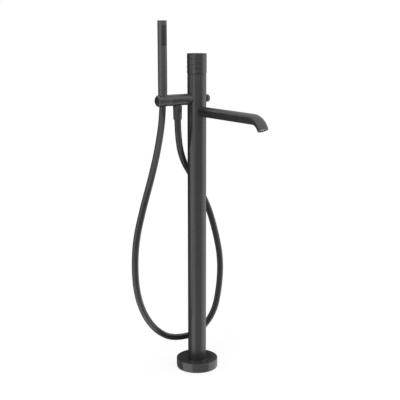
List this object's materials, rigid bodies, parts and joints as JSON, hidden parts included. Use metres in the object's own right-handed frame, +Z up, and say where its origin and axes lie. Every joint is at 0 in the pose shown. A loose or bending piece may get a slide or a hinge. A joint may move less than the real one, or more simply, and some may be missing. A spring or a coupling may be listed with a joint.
{
  "type": "floor standing bath filler",
  "caption": "Slender floor standing bath filler: round column with a turning knob on top, long downturned spout, side arm holding a stick hand shower on a looped hose, and a pull diverter.",
  "frame": {"origin": "on the floor, in the middle of the column's foot", "axes": "+Z up the column, -Y out along the spout, -X out along the arm with the hand shower, +X out through the diverter knob"},
  "size_m": [0.358, 0.3565, 0.9874],
  "materials": {
    "satin_black_metal": "satin",
    "satin_black_knob": "satin",
    "black_hose": "smooth pvc",
    "black_plastic": "moulded",
    "white_plastic": "moulded",
    "black_rubber": "matt",
    "grey_rubber": "matt",
    "brass": "machined",
    "steel": "machined"
  },
  "bodies": {
    "filler": {"floor_plate": "steel", "foot_collar": "steel", "foot_grub_screws": "steel", "base_cover": "satin_black_metal", "cover_skirt": "satin_black_metal", "cover_seal": "black_rubber", "column_tube": "satin_black_metal", "hot_supply_pipe": "brass", "cold_supply_pipe": "brass", "hot_inlet_nut": "brass", "cold_inlet_nut": "brass", "inlet_washers": "black_rubber", "valve_body": "brass", "cartridge": "white_plastic", "cartridge_nut": "brass", "glide_ring": "black_plastic", "spout_tube": "satin_black_metal", "spout_gasket": "black_rubber", "spout_spigot": "brass", "spout_o_ring": "black_rubber", "spout_grub_screw": "steel", "aerator_ring": "black_plastic", "aerator_mesh": "white_plastic", "aerator_seal": "black_rubber", "arm_tube": "satin_black_metal", "arm_gasket": "black_rubber", "arm_nipple": "brass", "outlet_block": "brass", "outlet_nipple": "satin_black_metal", "holder_end": "satin_black_metal", "holder_grub_screw": "steel", "holder_bush": "black_plastic", "outlet_hose_nut": "satin_black_metal", "outlet_seal": "black_rubber", "outlet_ferrule": "brass", "shower_hose": "black_hose", "diverter_bonnet": "satin_black_metal", "diverter_spring": "steel"},
    "knob": {"cartridge_stem": "brass", "knob_shell": "satin_black_knob", "knob_adapter": "white_plastic", "knob_grub_screw": "steel", "knob_cap": "satin_black_knob"},
    "diverter": {"diverter_spindle": "satin_black_metal", "diverter_knob": "satin_black_metal", "diverter_piston": "brass", "diverter_o_ring": "black_rubber"},
    "hose_end": {"handset_ferrule": "brass"},
    "handset": {"handset_seal": "black_rubber", "handset_cone_nut": "satin_black_metal", "handset_connector": "satin_black_metal", "check_valve": "white_plastic", "handset_waterway": "white_plastic", "handset_tube": "satin_black_metal", "handset_cap": "satin_black_metal", "spray_plate": "black_plastic", "nozzle_mat": "grey_rubber"}
  },
  "joints": [
    {"name": "mixer_turn", "type": "hinge", "parent": "filler", "child": "knob", "pos_m": [0, 0, 0.875], "axis": [0, 0, 1], "range_deg": [0, 110]},
    {"name": "diverter_pull", "type": "slide", "parent": "filler", "child": "diverter", "axis": [1, 0, 0], "range_m": [0, 0.008], "stiffness_N_per_m": 300, "springref_m": -0.004, "deforming": ["diverter_spring"]},
    {"name": "handset_lift", "type": "slide", "parent": "filler", "child": "hose_end", "axis": [0, 0, 1], "range_m": [0, 0.12]},
    {"name": "handset_turn", "type": "hinge", "parent": "hose_end", "child": "handset", "pos_m": [-0.1112, 0, 0.9], "axis": [0, 0, 1], "continuous": true}
  ]
}
